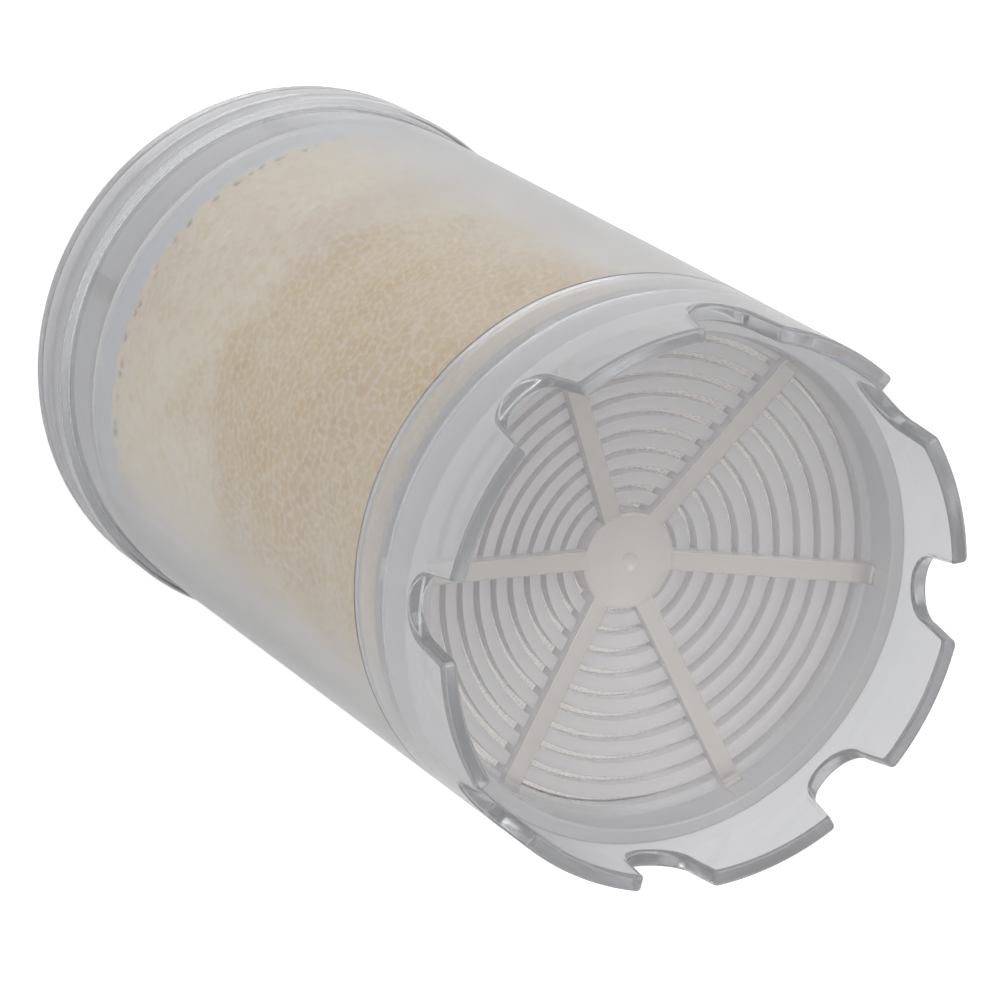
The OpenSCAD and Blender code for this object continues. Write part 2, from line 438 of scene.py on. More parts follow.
def felt_material(name, dark, light):
    """Pressed felt: fine crossed fibres in colour and bump."""
    mat = bpy.data.materials.new(name)
    mat.use_nodes = True
    n, link = mat.node_tree.nodes, mat.node_tree.links.new
    bsdf = n["Principled BSDF"]
    coord = n.new("ShaderNodeTexCoord")
    stretch = n.new("ShaderNodeMapping")
    stretch.inputs["Scale"].default_value = (1.0, 1.0, 3.0)
    link(coord.outputs["Object"], stretch.inputs["Vector"])
    fibre = n.new("ShaderNodeTexNoise")
    fibre.inputs["Scale"].default_value = 900.0
    fibre.inputs["Detail"].default_value = 6.0
    fibre.inputs["Distortion"].default_value = 1.5
    link(stretch.outputs["Vector"], fibre.inputs["Vector"])
    ramp = n.new("ShaderNodeValToRGB")
    ramp.color_ramp.elements[0].color = (*dark, 1)
    ramp.color_ramp.elements[1].color = (*light, 1)
    link(fibre.outputs["Fac"], ramp.inputs["Fac"])
    link(ramp.outputs["Color"], bsdf.inputs["Base Color"])
    bump = n.new("ShaderNodeBump")
    bump.inputs["Strength"].default_value = 0.6
    bump.inputs["Distance"].default_value = 0.0003
    link(fibre.outputs["Fac"], bump.inputs["Height"])
    link(bump.outputs["Normal"], bsdf.inputs["Normal"])
    bsdf.inputs["Roughness"].default_value = 0.95
    bsdf.inputs["Sheen Weight"].default_value = 0.3
    return mat


def screen_material():
    """Fine woven screen: two crossed wave patterns give the wires and the gaps between them."""
    mat = bpy.data.materials.new("woven screen")
    mat.use_nodes = True
    n, link = mat.node_tree.nodes, mat.node_tree.links.new
    bsdf = n["Principled BSDF"]
    coord = n.new("ShaderNodeTexCoord")
    waves = []
    for axis in ("X", "Y"):
        wave = n.new("ShaderNodeTexWave")
        wave.bands_direction = axis
        wave.inputs["Scale"].default_value = 900.0
        link(coord.outputs["Object"], wave.inputs["Vector"])
        waves.append(wave)
    cross = n.new("ShaderNodeMath")
    cross.operation = "MAXIMUM"
    link(waves[0].outputs["Fac"], cross.inputs[0])
    link(waves[1].outputs["Fac"], cross.inputs[1])
    ramp = n.new("ShaderNodeValToRGB")
    ramp.color_ramp.elements[0].color = (0.86, 0.83, 0.79, 1)
    ramp.color_ramp.elements[1].color = (0.95, 0.93, 0.90, 1)
    link(cross.outputs["Value"], ramp.inputs["Fac"])
    link(ramp.outputs["Color"], bsdf.inputs["Base Color"])
    bump = n.new("ShaderNodeBump")
    bump.inputs["Strength"].default_value = 0.5
    bump.inputs["Distance"].default_value = 0.0001
    link(cross.outputs["Value"], bump.inputs["Height"])
    link(bump.outputs["Normal"], bsdf.inputs["Normal"])
    bsdf.inputs["Roughness"].default_value = 0.5
    return mat


SHELL = plastic("hazy clear shell", (0.905, 0.905, 0.91), (0.86, 0.875, 0.905),
                0.885, (0.07, 0.115), 60.0)
GRILLE = plastic("milky grille", (0.775, 0.765, 0.77), (0.73, 0.725, 0.74),
                 0.55, (0.14, 0.20), 90.0)
RIBS = plastic("milky ribs", (0.79, 0.76, 0.725), (0.75, 0.73, 0.705),
               0.66, (0.14, 0.20), 90.0)
# near-white beads on the lugs' tops: a painted highlight
LUG_GLINT = felt_material("painted lug glint", (0.90, 0.91, 0.92), (1.0, 1.0, 1.0))
UPPER = granules("yellowish granules")
LOWER = granules("pale granules")
WHITE_FELT = felt_material("white felt", (0.80, 0.78, 0.74), (0.92, 0.91, 0.88))
GREY_FELT = felt_material("grey felt", (0.50, 0.52, 0.54), (0.66, 0.68, 0.70))
SCREEN = screen_material()


# ---------------------------------------------------------------- clear shells

def outer_r(z):
    """Outer radius at height z: the mould draft widens the tube towards the flange."""
    return RIM_R + DRAFT * (LENGTH - z) / (LENGTH - FLANGE_H)


def make_canister():
    """The tube turned from one closed profile: bore, rounded flange, drafted wall and neck."""
    shoulder = outer_r(JOINT_Z)
    seam = JOINT_Z - 0.04 * MM
    foot = outer_r(FLANGE_H)
    corners = [
        (BORE_R, 0.8 * MM), (BORE_R + 0.6 * MM, 0.0), (FLANGE_R, 0.0), (FLANGE_R, FLANGE_H),
        (foot, FLANGE_H), (shoulder, seam - 0.09 * MM),
        (shoulder - 0.1 * MM, seam), (NECK_R, seam), (NECK_R, NECK_TOP), (BORE_R, NECK_TOP)]
    radii = [0.3 * MM, 0.2 * MM, FLANGE_ROUND, FLANGE_ROUND, 0.4 * MM,
             0.05 * MM, 0.05 * MM, 0.05 * MM, THIN_EDGE, 0.1 * MM]
    body = Body()
    lathe(body, rounded(corners, radii, steps=6))
    return body.build("canister_shell", SHELL, "canister_body", ["canister"])


def notch_edge(points_side=10, points_bottom=22):
    """One notch's edge as (arc length from its middle, height), left mouth to right mouth.

    Convex arc at the mouth, a straight flaring side, and a half circle at the bottom.
    """
    t = np.linspace(0, 1, points_side)
    mouth = np.linspace(math.pi / 2, 0, 7)
    left = np.stack([-NOTCH_HALF - NOTCH_MOUTH_R + NOTCH_MOUTH_R * np.cos(mouth),
                     LENGTH - NOTCH_MOUTH_R + NOTCH_MOUTH_R * np.sin(mouth)], 1)
    turn = np.linspace(math.pi, TAU, points_bottom)
    centre_z = LENGTH - NOTCH_DEPTH + NOTCH_BOTTOM_R
    bottom = np.stack([NOTCH_BOTTOM_R * np.cos(turn), centre_z + NOTCH_BOTTOM_R * np.sin(turn)], 1)
    down = left[-1] + (bottom[0] - left[-1]) * t[1:-1, None]
    right = left[::-1] * [-1, 1]
    up = down[::-1] * [-1, 1]
    return np.vstack([left, down, bottom, up, right])


def rim_edge():
    """The whole castellated edge: (angle, height) and its outward normal in the unrolled wall."""
    notch = notch_edge()
    span = TAU * RIM_R / NOTCH_COUNT
    flat_from, flat_to = notch[-1, 0], span + notch[0, 0]
    flat = np.linspace(flat_from, flat_to, 16)[1:-1]
    step = np.vstack([notch, np.stack([flat, np.full(len(flat), LENGTH)], 1)])
    edge = np.vstack([step + [i * span, 0] for i in range(NOTCH_COUNT)])
    whole = TAU * RIM_R
    ahead, behind = np.roll(edge, -1, axis=0), np.roll(edge, 1, axis=0)
    ahead[-1, 0] += whole
    behind[0, 0] -= whole
    along = ahead - behind
    along /= np.linalg.norm(along, axis=1, keepdims=True)
    normal = np.stack([-along[:, 1], along[:, 0]], 1)
    return edge, normal


def make_collar():
    """The collar: the castellated edge, rounded by arcs from outer to inner wall, joined to
    straight walls below it and to the lap and pocket profile at the bottom."""
    edge, normal = rim_edge()
    e = THIN_EDGE
    rows = []

    def row(offset, radius_of_z, z=None, share=None):
        """The edge moved inwards by offset, its height drawn to z by share."""
        s = edge - normal * offset
        height = s[:, 1] if z is None else z + (s[:, 1] - z) * share
        s_angle = s[:, 0] / RIM_R if share is None or share == 1 else edge[:, 0] / RIM_R \
            - normal[:, 0] * offset * share / RIM_R
        r = radius_of_z(height)
        rows.append(np.stack([r * np.cos(s_angle), r * np.sin(s_angle), height], 1))

    wall_low = POCKET_TOP + 0.3 * MM
    base_angle = edge[:, 0] / RIM_R

    def skirt_r(z):
        """The skirt's bore, the same at every height."""
        return np.full(len(z), SKIRT_R)

    def ring(r, z):
        """A plain circle of radius r at height z, with the edge's own spacing."""
        rows.append(np.stack([r * np.cos(base_angle), r * np.sin(base_angle),
                              np.full(len(base_angle), z)], 1))

    # up the outside
    low_profile = rounded([(LAP_R, JOINT_Z), (outer_r(JOINT_Z) - 0.1 * MM, JOINT_Z),
                           (outer_r(JOINT_Z + 0.1 * MM), JOINT_Z + 0.1 * MM),
                           (outer_r(wall_low), wall_low)], 0.05 * MM, 3, closed=False)
    for r, z in low_profile[1:]:
        ring(r, z)
    for share in (0.15, 0.35, 0.6, 0.8, 0.93):
        row(e, outer_r, wall_low, share)
    row(e + 0.05 * MM, outer_r)
    for k in range(6):
        a = math.pi / 2 * k / 5
        row(e * (1 - math.sin(a)), lambda z, a=a: outer_r(z) - e * (1 - math.cos(a)))
    for k in range(6):
        a = math.pi / 2 * k / 5
        row(e * (1 - math.cos(a)), lambda z, a=a: skirt_r(z) + e * (1 - math.sin(a)))
    row(e + 0.05 * MM, skirt_r)
    for share in (0.93, 0.8, 0.6, 0.35, 0.15):
        row(e, skirt_r, wall_low, share)
    # down the inside
    inner = rounded([(SKIRT_R, wall_low), (SKIRT_R, POCKET_TOP), (POCKET_R, POCKET_TOP),
                     (POCKET_R, LAP_TOP), (LAP_R, LAP_TOP), (LAP_R, JOINT_Z)], 0.04 * MM, 3,
                    closed=False)
    for r, z in inner:
        ring(r, z)
    grid = np.array(rows)
    body = Body()
    body.add(grid.reshape(-1, 3), grid_faces(len(grid), len(edge), True, True))
    return body.build("collar_shell", SHELL, "collar_body", ["collar"])


# ---------------------------------------------------------------- grilles

def dish_z(r):
    """Top of the dished plate at radius r."""
    return DISH_MIDDLE + DISH_SLOPE * r


def arc_points(centre, radius, start, end, steps):
    """Points of a circular arc in the (radius, height) plane, angles in degrees."""
    a = np.radians(np.linspace(start, end, steps + 1))
    return [(centre[0] + radius * math.cos(t), centre[1] + radius * math.sin(t)) for t in a]


def slit_edges(count):
    """Inner and outer radius of each ring slit, from the hub outwards."""
    first = SLIT_FIRST - SLIT_W / 2
    return [(first + i * SLIT_PITCH, first + i * SLIT_PITCH + SLIT_W) for i in range(count)]


def ring_line(edges, start, end, height, fillet):
    """A radial line over the plate from start to end, rounded down at each slit's two edges.

    height(r) is the surface; fillet is signed, so a top line rounds down and an under line
    up. A top line is crowned between slits by half the fillet. Returns the points and the
    indices after which a slit opens.
    """
    line, opens = [], []
    f, size = fillet, abs(fillet)
    here = start
    for inner, outer in edges:
        if inner - here > 2.4 * size:
            line.append(((inner + here) / 2, 0.5 * max(f, 0.0)))
            line.append((inner - size - 0.05 * MM, 0.0))
            line += [(inner - size + size * math.sin(t), f * (math.cos(t) - 1))
                     for t in np.radians((0, 30, 60, 90))]
        else:
            line.append((inner, -f))
        opens.append(len(line) - 1)
        line += [(outer + size - size * math.cos(t), f * (math.sin(t) - 1))
                 for t in np.radians((0, 30, 60, 90))]
        line.append((outer + size + 0.05 * MM, 0.0))
        here = outer
    if end - here > 2.4 * size:
        line.append((end, 0.0))
    return [(r, height(r) + dz) for r, dz in line], opens


def under_line(edges, end, height):
    """The plate's under line from end back to the axis, and the indices where slits open."""
    line, opens = ring_line(edges, HUB_R, end, height, -0.1 * MM)
    line = line[:-1]
    return line[::-1] + [(0, height(0))], [len(line) - 2 - i for i in opens]


def slotted_disc(body, plain, ribbed, top_opens, under_opens, turn):
    """A ribbed disc with arc slits as one closed surface.

    A profile runs from the axis over the top, round the outside and back under the plate to
    the axis. `plain` is that profile between the ribs and `ribbed` the same points on a rib.
    A column s in [-1, 1] across a rib lies at angle turn + asin(s * half width / r), and a
    column t in [0, 1] between ribs lies between the two rib sides at that radius. Where a slit
    opens, the top and under faces are left out and four walls join their edges.
    """
    half, soft = RIB_W / 2, 0.12 * MM
    plain, ribbed = np.array(plain), np.array(ribbed)
    n = len(plain)
    across = np.array([-1, -0.965, -0.9, -0.84, -0.78, 0, 0.78, 0.84, 0.9, 0.965, 1])
    round_off = np.clip((abs(across) - 0.84) / 0.16, 0, 1)
    drop = soft * (1 - np.sqrt(1 - round_off ** 2))
    between = np.concatenate([[0, 0.006, 0.02], np.linspace(0.06, 0.94, 23), [0.98, 0.994, 1]])
    sector = TAU / RIB_COUNT
    columns, kinds = [], []

    def place(profile, angle):
        """The profile turned to an angle, one per point: (r cos a, r sin a, z)."""
        return np.stack([profile[:, 0] * np.cos(angle), profile[:, 0] * np.sin(angle),
                         profile[:, 1]], 1)

    def side(profile, offset):
        """The angle at which each radius meets a line offset from the rib's middle."""
        return np.arcsin(np.clip(offset / np.maximum(profile[:, 0], HUB_R), -1, 1))

    for k in range(RIB_COUNT):
        middle = turn + k * sector
        for s, d in zip(across, drop):
            rib = ribbed.copy()
            rib[:, 1] = plain[:, 1] + np.sign(ribbed[:, 1] - plain[:, 1]) \
                * np.maximum(abs(ribbed[:, 1] - plain[:, 1]) - d, 0)
            columns.append(place(rib, middle + side(rib, s * half)))
            kinds.append(0)
        for t in between:
            edge = side(plain, half + 0.03 * MM)
            columns.append(place(plain, middle + edge + t * (sector - 2 * edge)))
            kinds.append(1)
    rows = len(columns)
    kinds = np.array(kinds)
    verts = np.array(columns).reshape(-1, 3)
    faces = grid_faces(rows, n - 2, True, False)
    faces = faces // (n - 2) * n + faces % (n - 2) + 1
    j = np.arange(rows)
    j1 = (j + 1) % rows
    cell = (kinds[j] == 1) & (kinds[j1] == 1)
    first, last = j[(kinds == 1) & (kinds[j - 1] == 0)], j[(kinds == 1) & (kinds[j1] == 0)]
    row_of, line_of = faces[:, 0] // n, faces[:, 0] % n
    keep = np.ones(len(faces), bool)
    walls = []
    for i, k in zip(top_opens, under_opens):
        keep &= ~(cell[row_of] & ((line_of == i) | (line_of == k)))
        a, b = j[cell], j1[cell]
        walls.append(np.stack([b * n + i, a * n + i, a * n + k + 1, b * n + k + 1], 1))
        walls.append(np.stack([a * n + i + 1, b * n + i + 1, b * n + k, a * n + k], 1))
        walls.append(np.stack([first * n + i, first * n + i + 1, first * n + k,
                               first * n + k + 1], 1))
        walls.append(np.stack([last * n + i + 1, last * n + i, last * n + k + 1,
                               last * n + k], 1))
    poles = np.array([[0, 0, plain[0, 1]], [0, 0, plain[-1, 1]]])
    base = len(verts)
    fan_top = np.stack([np.full(rows, base), j * n + 1, j1 * n + 1], 1)
    fan_low = np.stack([np.full(rows, base + 1), j1 * n + n - 2, j * n + n - 2], 1)
    used = np.zeros(base + 2, bool)
    all_faces = [faces[keep], *walls, fan_top, fan_low]
    for f in all_faces:
        used[f.ravel()] = True
    renumber = np.cumsum(used) - 1
    lifted = (abs(ribbed - plain).sum(axis=1) > 0.2 * MM) | (plain[:, 0] < HUB_R)
    thick = np.repeat(kinds == 0, n) | (np.tile(plain[:, 0], rows) < HUB_R)
    thick &= np.tile(lifted, rows)
    thick = np.concatenate([thick, [True, True]]).astype(float)
    body.add(np.vstack([verts, poles])[used], *[renumber[f] for f in all_faces],
             thick=thick[used])


def glint_bead(body, centre, radius, steps=14):
    """A small closed sphere, given the painted glint material: rings of radius r sin b at height r
    cos b, and two poles.
    """
    b = np.linspace(0, math.pi, steps + 1)[1:-1]
    a = np.arange(2 * steps) / (2 * steps) * TAU
    bb, aa = np.meshgrid(b, a)
    ball = np.stack([np.sin(bb) * np.cos(aa), np.sin(bb) * np.sin(aa), np.cos(bb)], -1)
    n, m = len(b), len(a)
    verts = np.vstack([ball.reshape(-1, 3), [[0, 0, 1], [0, 0, -1]]]) * radius + centre
    j = np.arange(m)
    j1 = (j + 1) % m
    top = np.stack([np.full(m, n * m), j * n, j1 * n], 1)
    low = np.stack([np.full(m, n * m + 1), j1 * n + n - 1, j * n + n - 1], 1)
    body.add(verts, grid_faces(m, n, True, False), top, low, thick=np.full(len(verts), 2.0))


def make_outlet_grille():
    """The dished outlet grille: hub, slotted plate, ribs, upstanding wall and rim, one surface."""
    body = Body()
    edges = slit_edges(OUTLET_SLITS)
    plate_end = edges[-1][1]
    base, top = NECK_TOP + 0.05 * MM, POCKET_TOP - 0.05 * MM
    lug_r, lug_top = LAP_R - 0.05 * MM, LAP_TOP - 0.05 * MM
    hub_r = HUB_R - 0.001 * MM
    crown = [(0, HUB_TOP - 0.3 * MM), (0.3 * MM, HUB_TOP - 0.28 * MM),
             (0.62 * MM, HUB_TOP - 0.06 * MM), (0.72 * MM, HUB_TOP), (0.8 * MM, HUB_TOP),
             (hub_r - 0.35 * MM, HUB_TOP)]
    crown += arc_points((hub_r - 0.3 * MM, HUB_TOP - 0.3 * MM), 0.3 * MM, 90, 0, 4)
    plate, opens = ring_line(edges, HUB_R, WALL_IN - 0.6 * MM, dish_z, 0.06 * MM)
    brim_z = dish_z(WALL_IN)
    brim = arc_points((WALL_IN - 0.45 * MM, brim_z + 0.45 * MM), 0.45 * MM, -78, 0, 6)
    wall = [(WALL_IN + 0.02 * MM, brim_z + 0.6 * MM), (WALL_IN_TOP - 0.02 * MM, top - 0.3 * MM)]
    lip = arc_points((WALL_IN_TOP + 0.2 * MM, top - 0.2 * MM), 0.2 * MM, 180, 90, 4)
    lip += [(WALL_IN_TOP + 0.3 * MM, top), (GRILLE_R - 0.25 * MM, top)]
    lip += arc_points((GRILLE_R - 0.2 * MM, top - 0.2 * MM), 0.2 * MM, 90, 0, 4)
    side_top = [(GRILLE_R, top - 0.3 * MM), (GRILLE_R, lug_top + 0.1 * MM)]
    foot = [(GRILLE_R - 0.1 * MM, base), (GRILLE_R - 0.2 * MM, base),
            (plate_end + 0.1 * MM, base)]
    outside = side_top + [(GRILLE_R, z) for z in (lug_top, lug_top - 0.1 * MM, base + 0.2 * MM,
                                                  base + 0.1 * MM)] + foot
    lug = side_top + [(lug_r - 0.1 * MM, lug_top), (lug_r, lug_top - 0.1 * MM),
                      (lug_r, base + 0.2 * MM), (lug_r - 0.1 * MM, base + 0.1 * MM)] + foot
    under, under_opens = under_line(edges, plate_end, lambda r: dish_z(r) - PLATE_T)

    def rib_top(r):
        """A rib's top follows the dish, RIB_H above it."""
        return dish_z(r) + RIB_H

    end_z = rib_top(WALL_IN)

    def squeeze(z):
        """Heights on the wall, from brim_z to top, drawn into end_z to top at a rib's end."""
        return end_z + (z - brim_z) * (top - end_z) / (top - brim_z)

    upper = crown + plate
    ribbed = [(r, max(z, rib_top(r))) if r > hub_r - 0.32 * MM else (r, z) for r, z in upper]
    ribbed += [(r, squeeze(z)) for r, z in brim + wall + lip] + lug
    plain = upper + brim + wall + lip + outside
    shift, below = len(crown), len(plain)
    slotted_disc(body, plain + under, ribbed + under, [i + shift for i in opens],
                 [i + below for i in under_opens], OUTLET_RIB_TURN)
    return body.build("outlet_grille_milky", GRILLE, "collar_body",
                      ["outlet_grille"], [RIBS])


def make_inlet_plug():
    """The inlet plug: slotted plate, full-height ribs with lugs, two bands and a groove."""
    body = Body()
    edges = slit_edges(INLET_SLITS)
    plate_end = edges[-1][1]
    hub_top = PLUG_HIGH - 0.4 * MM
    lug_r = PLUG_R + 0.02 * MM
    band_r, groove_r = PLUG_R - 0.3 * MM, PLUG_R - 0.8 * MM
    hub_r = HUB_R - 0.001 * MM
    e = 0.15 * MM
    crown = [(0, hub_top), (0.5 * MM, hub_top), (hub_r - 0.35 * MM, hub_top)]
    crown += arc_points((hub_r - 0.3 * MM, hub_top - 0.3 * MM), 0.3 * MM, 90, 0, 4)
    crown += [(hub_r, PLUG_PLATE_TOP + 0.2 * MM)]
    plate, opens = ring_line(edges, HUB_R, PLUG_IN_R - 0.3 * MM, lambda r: PLUG_PLATE_TOP,
                             0.1 * MM)
    wall = arc_points((PLUG_IN_R - 0.25 * MM, PLUG_PLATE_TOP + 0.25 * MM), 0.25 * MM, -80, 0, 4)
    wall += [(PLUG_IN_R, BAND_TOP - 0.3 * MM)]
    wall += arc_points((PLUG_IN_R + 0.2 * MM, BAND_TOP - 0.2 * MM), 0.2 * MM, 180, 90, 3)
    outer = arc_points((band_r - 0.2 * MM, BAND_TOP - 0.2 * MM), 0.2 * MM, 90, 0, 3)
    outer += [(band_r, BAND_TOP - 0.3 * MM), (band_r, GROOVE_HIGH + 1.5 * e),
              (band_r - 0.3 * e, GROOVE_HIGH + 0.3 * e), (band_r - e, GROOVE_HIGH)]
    foot = [(groove_r + e, GROOVE_HIGH), (groove_r, GROOVE_HIGH - e), (groove_r, GROOVE_LOW + e),
            (groove_r + e, GROOVE_LOW), (PLUG_R - e, GROOVE_LOW),
            (PLUG_R - 0.3 * e, GROOVE_LOW - 0.3 * e), (PLUG_R, GROOVE_LOW - e),
            (PLUG_R, PLUG_LOW + 2 * e), (PLUG_R, PLUG_LOW + e),
            (PLUG_R - 0.3 * e, PLUG_LOW + 0.3 * e), (PLUG_R - e, PLUG_LOW),
            (PLUG_R - 2 * e, PLUG_LOW)]
    under, under_opens = under_line(edges, plate_end, lambda r: PLUG_LOW)

    top = PLUG_HIGH
    upper = crown + plate
    flat = len(crown) - 6
    ribbed = crown[:flat] + [(r, top) for r in np.linspace(hub_r - 0.3 * MM, hub_r, 6)]
    ribbed += [(r, top) for r, z in plate]
    count = len(wall) + len(outer) - 4
    ribbed += [(r, top) for r in np.linspace(PLUG_IN_R - 0.2 * MM, lug_r - 0.2 * MM, count)]
    ribbed += [(lug_r - 0.02 * MM, top - 0.1 * MM), (lug_r, top - 0.2 * MM),
               (lug_r, GROOVE_HIGH + e), (lug_r - e, GROOVE_HIGH)]
    plain = upper + wall + outer + foot
    ribbed += foot
    shift, below = len(crown), len(plain)
    slotted_disc(body, plain + under, ribbed + under, [i + shift for i in opens],
                 [i + below for i in under_opens], INLET_RIB_TURN)
    # a small near-white bead on each lug's top, a painted highlight for the glint there
    for i in range(RIB_COUNT):
        angle = INLET_RIB_TURN + i * TAU / RIB_COUNT
        glint_bead(body, (17.9 * MM * math.cos(angle), 17.9 * MM * math.sin(angle), top - 0.5 * MM),
               0.34 * MM)
    return body.build("inlet_plug_milky", GRILLE, "canister_body", ["inlet_plug"],
                      [RIBS, LUG_GLINT])


# ---------------------------------------------------------------- filling

def grain_field(u, v, columns):
    """Distances to the two nearest grain centres and the nearest grain's shade from 0 to 1.

    Centres lie on a lattice of unit cells, every other row shifted by half, each moved at
    random inside its cell; the nine cells round a point are searched.
    """
    rng = np.random.RandomState(GRAIN_SEED)
    rows = 90
    jitter = rng.uniform(-0.48, 0.48, (rows + 2, columns, 2))
    shade = rng.uniform(0, 1, (rows + 2, columns))
    best = np.full(u.shape, 9.0)
    second = np.full(u.shape, 9.0)
    tone = np.zeros(u.shape)
    base_row = np.floor(v).astype(int)
    for dj in (-1, 0, 1):
        row = base_row + dj
        shift = 0.5 * (row % 2)
        for di in (-1, 0, 1):
            col = np.floor(u - shift).astype(int) + di
            pick = jitter[row + 1, col % columns]
            cu = col + 0.5 + shift + pick[..., 0]
            cv = row + 0.5 + pick[..., 1]
            d = np.hypot(u - cu, v - cv)
            closer = d < best
            second = np.where(closer, best, np.minimum(second, d))
            tone = np.where(closer, shade[row + 1, col % columns], tone)
            best = np.where(closer, d, best)
    return best, second, tone


def edge_gaps(angle, height, radius, low):
    """Gaps left between a bed's lowest grains and the wall, pushed in and darkened as painted
    shade: soft spots, 0 to 1.

    Each spot is 1 - (distance / its size), cut at 0, round a random place near the edge.
    """
    rng = np.random.RandomState(GRAIN_SEED)
    count = 76
    where = (np.arange(count) + rng.uniform(-0.35, 0.35, count)) / count * TAU
    up = low + rng.uniform(0.25, 0.9, count) * MM
    size = rng.uniform(0.22, 0.55, count) * MM
    spots = np.zeros(angle.shape)
    near = height[:, 0] < low + 1.6 * MM
    for w, z, r in zip(where, up, size):
        d = np.hypot((np.mod(angle[near] - w + math.pi, TAU) - math.pi) * radius,
                     height[near] - z)
        spots[near] = np.maximum(spots[near], np.clip(2.2 * (1 - d / r), 0, 1))
    return spots


def make_bed(name, node, material, radius, low, high_of_r, gaps=False):
    """A packed bed: a turned solid whose side is pushed in between the grains.

    Side radius at angle a and height z: radius less GRAIN_DEPTH * min(1, (d / 0.62)^2), less a
    slow ripple and the gaps beside the felt. d is the distance to the nearest grain centre in
    grain widths. high_of_r gives the top's height at each radius.
    """
    around = BED_COLUMNS
    side_top = high_of_r(radius)
    side_rows = int((side_top - low) / BED_ROW)
    a = np.arange(around) / around * TAU
    z = np.linspace(low, side_top, side_rows)
    columns = int(round(TAU * radius / (GRAIN_WIDE * GRAIN)))
    aa, zz = np.meshgrid(a, z)
    u = aa / TAU * columns
    v = (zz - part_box("lower_bed")[0][2]) / (GRAIN_TALL * GRAIN) + 2.5
    v += 0.9 * np.sin(3 * aa + zz / (4 * MM)) + 0.3 * np.sin(11 * aa - zz / (3 * MM))
    near, second, tone = grain_field(u, v, columns)
    edge = np.clip(1 - (second - near) / 0.28, 0, 1)
    depth = GRAIN_DEPTH * np.minimum(1, (near / 0.62) ** 2)
    depth += RIPPLE_DEPTH * (0.5 + 0.5 * np.sin(7 * aa + 160 * zz / (20 * MM)))
    # the gap spots push the side in, and the same values paint them nearly black as painted shade
    gap = edge_gaps(aa, zz, radius, low) if gaps else np.zeros(aa.shape)
    rr = radius - depth - GAP_DEPTH * gap
    side = np.stack([rr * np.cos(aa), rr * np.sin(aa), zz], -1).reshape(-1, 3)

    ring_r = np.array([0.96, 0.8, 0.55, 0.3]) * radius
    extra = []
    for r in ring_r:
        extra.append(np.stack([r * np.cos(a), r * np.sin(a), np.full(around, high_of_r(r))], -1))
    for r in ring_r:
        extra.append(np.stack([r * np.cos(a), r * np.sin(a), np.full(around, low)], -1))
    verts = np.vstack([side] + extra + [[[0, 0, high_of_r(0.0)], [0, 0, low]]])
    quads = [grid_faces(side_rows, around, False, True)]
    j = np.arange(around)
    j1 = (j + 1) % around
    tail = side_rows * around

    def bridge(a0, b0):
        """The quads between two rings whose first points are a0 and b0."""
        return np.stack([a0 + j, a0 + j1, b0 + j1, b0 + j], 1)

    top_rings = [(side_rows - 1) * around] + [tail + k * around for k in range(4)]
    low_rings = [0] + [tail + (4 + k) * around for k in range(4)]
    for p, q in zip(top_rings, top_rings[1:]):
        quads.append(bridge(p, q))
    for p, q in zip(low_rings, low_rings[1:]):
        quads.append(bridge(q, p))
    apex = len(verts) - 2
    top_fan = np.stack([top_rings[-1] + j, top_rings[-1] + j1, np.full(around, apex)], 1)
    low_fan = np.stack([low_rings[-1] + j1, low_rings[-1] + j, np.full(around, apex + 1)], 1)
    rest = len(verts) - side.shape[0]
    body = Body()
    body.add(verts, *quads, top_fan, low_fan,
             grain_shade=np.concatenate([tone.ravel(), np.full(rest, 0.5)]),
             grain_edge=np.concatenate([edge.ravel(), np.full(rest, 0.3)]),
             grain_gap=np.concatenate([gap.ravel(), np.zeros(rest)]))
    return body.build(name, material, "canister_body", [node])


def make_filling():
    """The two granule beds between their felts, and the screens' woven finish."""
    bed_r = BORE_R - BED_GAP
    lower_low, lower_high = (corner[2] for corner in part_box("lower_bed"))
    upper_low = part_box("upper_bed")[0][2]
    bed_top = PLATE_T + 2 * SCREEN_T + OUTLET_FELT_T + 0.1 * MM
    make_bed("upper_granules", "upper_bed", UPPER, bed_r, upper_low,
             lambda r: dish_z(r) - bed_top)
    make_bed("lower_granules", "lower_bed", LOWER, bed_r, lower_low,
             lambda r: lower_high, gaps=True)

    low, high = (corner[2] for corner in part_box("inlet_felt"))
    felt = Body()
    lathe_disc(felt, rounded([(0, low), (bed_r, low), (bed_r, high), (0, high)],
                             [0, 0.7 * MM, 0.5 * MM, 0], 6, closed=False))
    felt.build("inlet_felt_pad", GREY_FELT, "canister_body", ["inlet_felt"])

    top = PLATE_T + SCREEN_T + 0.33 * MM
    under = top + OUTLET_FELT_T
    felt = Body()
    lathe_disc(felt, rounded([(0, dish_z(0) - under), (bed_r, dish_z(bed_r) - under),
                              (bed_r, dish_z(bed_r) - top), (0, dish_z(0) - top)],
                             [0, 0.4 * MM, 0.4 * MM, 0], 6, closed=False))
    felt.build("outlet_felt_pad", WHITE_FELT, "canister_body", ["outlet_felt"])

    for node in ("outlet_screen", "inlet_screen"):
        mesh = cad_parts[node].data
        mesh.materials.clear()
        mesh.materials.append(SCREEN)


# ---------------------------------------------------------------- stage, light, camera

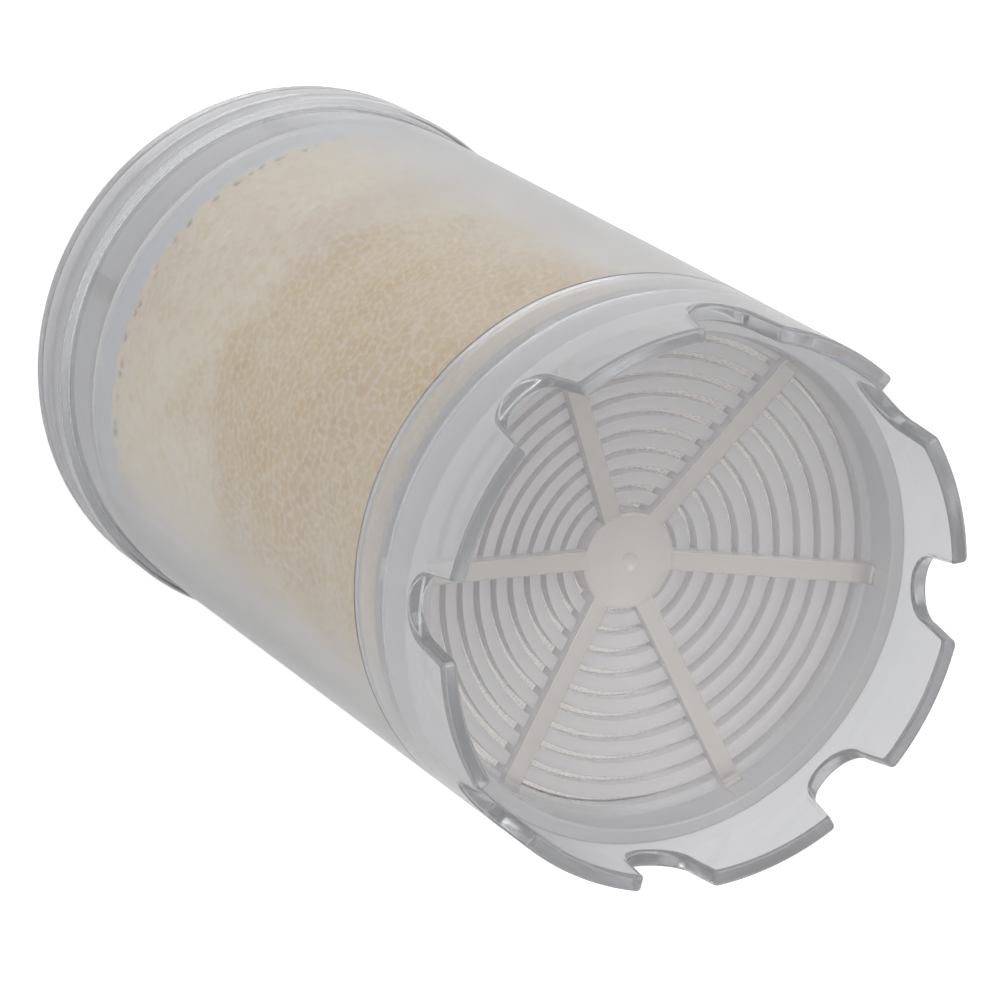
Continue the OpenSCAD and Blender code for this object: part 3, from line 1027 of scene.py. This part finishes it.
def make_stage():
    """A wide pale floor just under the flange, a little brighter where it is seen directly."""
    half, below = 3.0, -0.05 * MM
    mesh = bpy.data.meshes.new("floor")
    mesh.from_pydata([(-half, -half, below), (half, -half, below), (half, half, below),
                      (-half, half, below)], [], [(0, 1, 2, 3)])
    floor = bpy.data.objects.new("floor", mesh)
    bpy.context.scene.collection.objects.link(floor)
    mat = bpy.data.materials.new("pale floor")
    mat.use_nodes = True
    bsdf = mat.node_tree.nodes["Principled BSDF"]
    bsdf.inputs["Base Color"].default_value = (0.90, 0.90, 0.90, 1)
    bsdf.inputs["Roughness"].default_value = 0.9
    bsdf.inputs["Emission Color"].default_value = (1, 1, 1, 1)
    path = mat.node_tree.nodes.new("ShaderNodeLightPath")
    glow = mat.node_tree.nodes.new("ShaderNodeMath")
    glow.operation = "MULTIPLY"
    glow.inputs[1].default_value = 0.5
    mat.node_tree.links.new(path.outputs["Is Camera Ray"], glow.inputs[0])
    mat.node_tree.links.new(glow.outputs["Value"], bsdf.inputs["Emission Strength"])
    mesh.materials.append(mat)


def add_area(name, place, aim, size, power):
    """A square soft light at place, turned towards aim."""
    data = bpy.data.lights.new(name, "AREA")
    data.size = size
    data.energy = power
    light = bpy.data.objects.new(name, data)
    light.location = place
    light.rotation_mode = "QUATERNION"
    light.rotation_quaternion = (Vector(aim) - Vector(place)).to_track_quat("-Z", "Y")
    bpy.context.scene.collection.objects.link(light)


def make_lights():
    """An even pale surround, a key light from the front left and a weaker fill."""
    world = bpy.data.worlds.new("studio")
    world.use_nodes = True
    back = world.node_tree.nodes["Background"]
    back.inputs["Color"].default_value = (0.985, 0.98, 0.985, 1)
    back.inputs["Strength"].default_value = 0.65
    bpy.context.scene.world = world
    middle = (0, 0, LENGTH / 2)
    add_area("key", (-0.55, -0.35, 0.75), middle, 0.7, 3.0)
    add_area("fill", (0.6, -0.7, 0.6), middle, 0.8, 2.0)


def make_camera():
    """Looks down on the rim from the front right, rolled, through a long lens."""
    azimuth, elevation, roll = math.radians(-75.14), math.radians(58.85), math.radians(122.5)
    distance = 0.37985
    aim = Vector((0.00126, 0.00033, 0.04346))
    flat = math.cos(elevation)
    back = Vector((math.cos(azimuth) * flat, math.sin(azimuth) * flat, math.sin(elevation)))
    level = Vector((0, 0, 1)).cross(back).normalized()
    above = back.cross(level)
    right = level * math.cos(roll) + above * math.sin(roll)
    up = back.cross(right)
    data = bpy.data.cameras.new("camera")
    data.lens = 180
    data.sensor_width = 36
    data.clip_start = 0.01
    cam = bpy.data.objects.new("camera", data)
    cam.rotation_mode = "QUATERNION"
    cam.location = aim + back * distance
    turn = np.array([right, up, back]).T
    cam.rotation_quaternion = Matrix(turn.tolist()).to_quaternion()
    bpy.context.scene.collection.objects.link(cam)
    bpy.context.scene.camera = cam


make_camera()
make_canister()
make_collar()
make_outlet_grille()
make_inlet_plug()
make_filling()
make_stage()
make_lights()
bpy.context.scene.view_settings.view_transform = "Standard"
